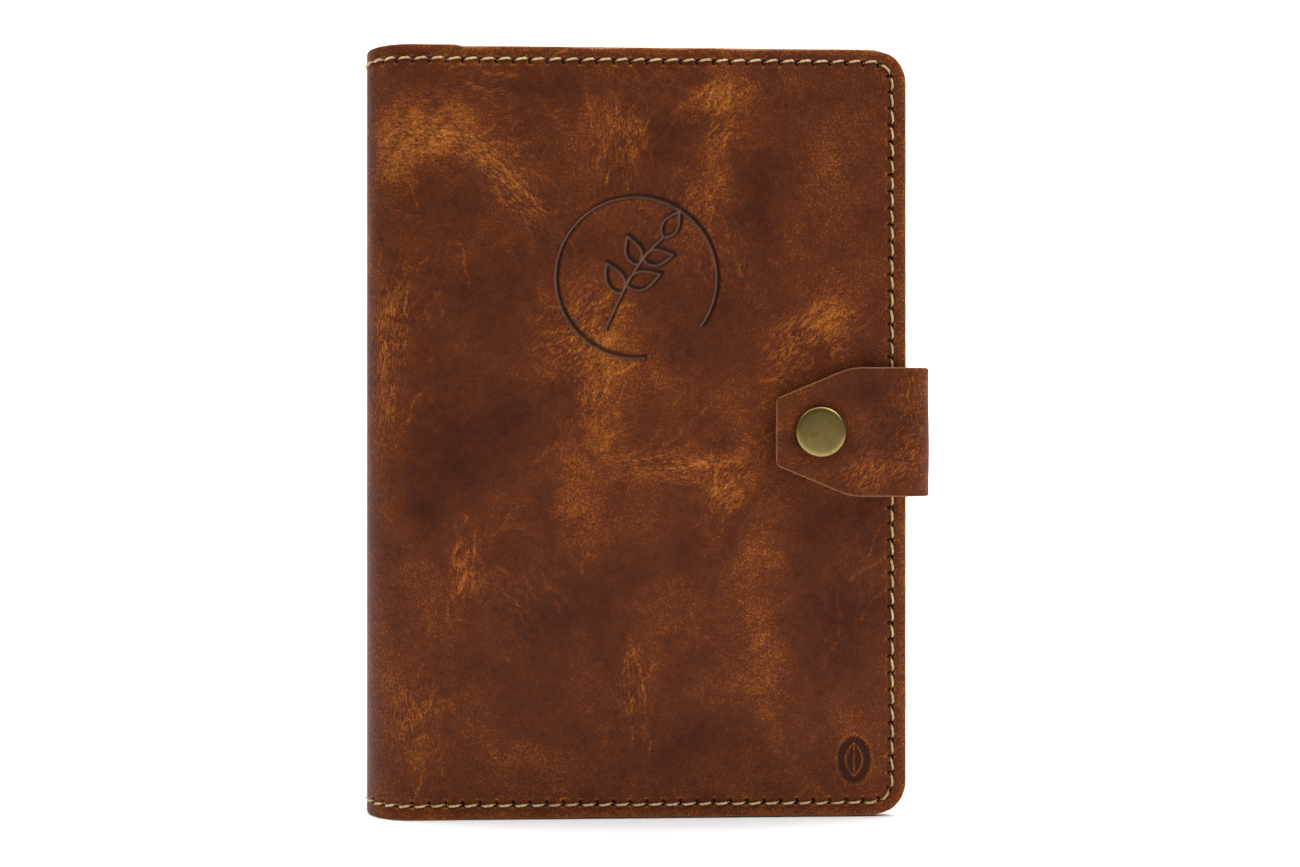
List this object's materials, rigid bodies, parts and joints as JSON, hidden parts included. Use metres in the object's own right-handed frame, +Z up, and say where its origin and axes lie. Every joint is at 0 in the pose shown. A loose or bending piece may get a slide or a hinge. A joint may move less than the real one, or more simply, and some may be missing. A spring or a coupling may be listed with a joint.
{
  "type": "leather notebook cover",
  "caption": "Stitched leather cover with a rounded spine, inner pockets that hold a notebook, and a strap that snaps over the fore-edge.",
  "frame": {"origin": "middle of the lowest face of the box round the whole object, on the surface that it stands on", "axes": "+Z up along the cover's height, +X from the spine to the fore-edge, -Y out of the front cover"},
  "size_m": [0.168, 0.0392, 0.228],
  "materials": {
    "cover_leather": "waxed pull-up leather, brown with lighter creases",
    "pocket_leather": "soft brown lining leather, matte",
    "thread": "waxed cream twisted thread",
    "antique_brass": "antique brass, brighter on its rolled rim",
    "plain_brass": "satin brass",
    "spring_steel": "drawn wire",
    "notebook_board": "black paper-covered greyboard",
    "paper": "uncoated cream paper",
    "endpaper": "heavier uncoated paper",
    "headband": "striped cotton band"
  },
  "bodies": {
    "back": {"back_cover_leather": "cover_leather", "back_pocket_leather": "pocket_leather", "back_seam_thread": "thread", "strap_base": "cover_leather", "strap_base_thread": "thread", "notebook_back_board": "notebook_board", "page_signatures": "paper", "endpapers": "endpaper", "headbands": "headband"},
    "spine": {"spine_leather": "cover_leather", "spine_seam_thread": "thread", "notebook_spine_strip": "notebook_board"},
    "front": {"front_cover_leather": "cover_leather", "front_pocket_leather": "pocket_leather", "front_seam_thread": "thread", "snap_stud": "plain_brass", "stud_eyelet": "plain_brass", "notebook_front_board": "notebook_board"},
    "strap_side": {"strap_side": "cover_leather"},
    "strap_flap": {"strap_flap": "cover_leather", "snap_cap": "antique_brass", "snap_socket": "plain_brass", "snap_spring": "spring_steel"}
  },
  "joints": [
    {"name": "back_fold", "type": "hinge", "parent": "back", "child": "spine", "pos_m": [-0.07996, 0.01356, 0], "axis": [0, 0, -1], "range_deg": [0, 90]},
    {"name": "front_fold", "type": "hinge", "parent": "spine", "child": "front", "pos_m": [-0.07996, -0.00836, 0], "axis": [0, 0, -1], "range_deg": [0, 180]},
    {"name": "strap_root_bend", "type": "hinge", "parent": "back", "child": "strap_side", "pos_m": [0.0823, 0.0179, 0], "axis": [0, 0, 1], "range_deg": [0, 90]},
    {"name": "strap_tip_bend", "type": "hinge", "parent": "strap_side", "child": "strap_flap", "pos_m": [0.0823, -0.0159, 0], "axis": [0, 0, 1], "range_deg": [0, 90]}
  ]
}
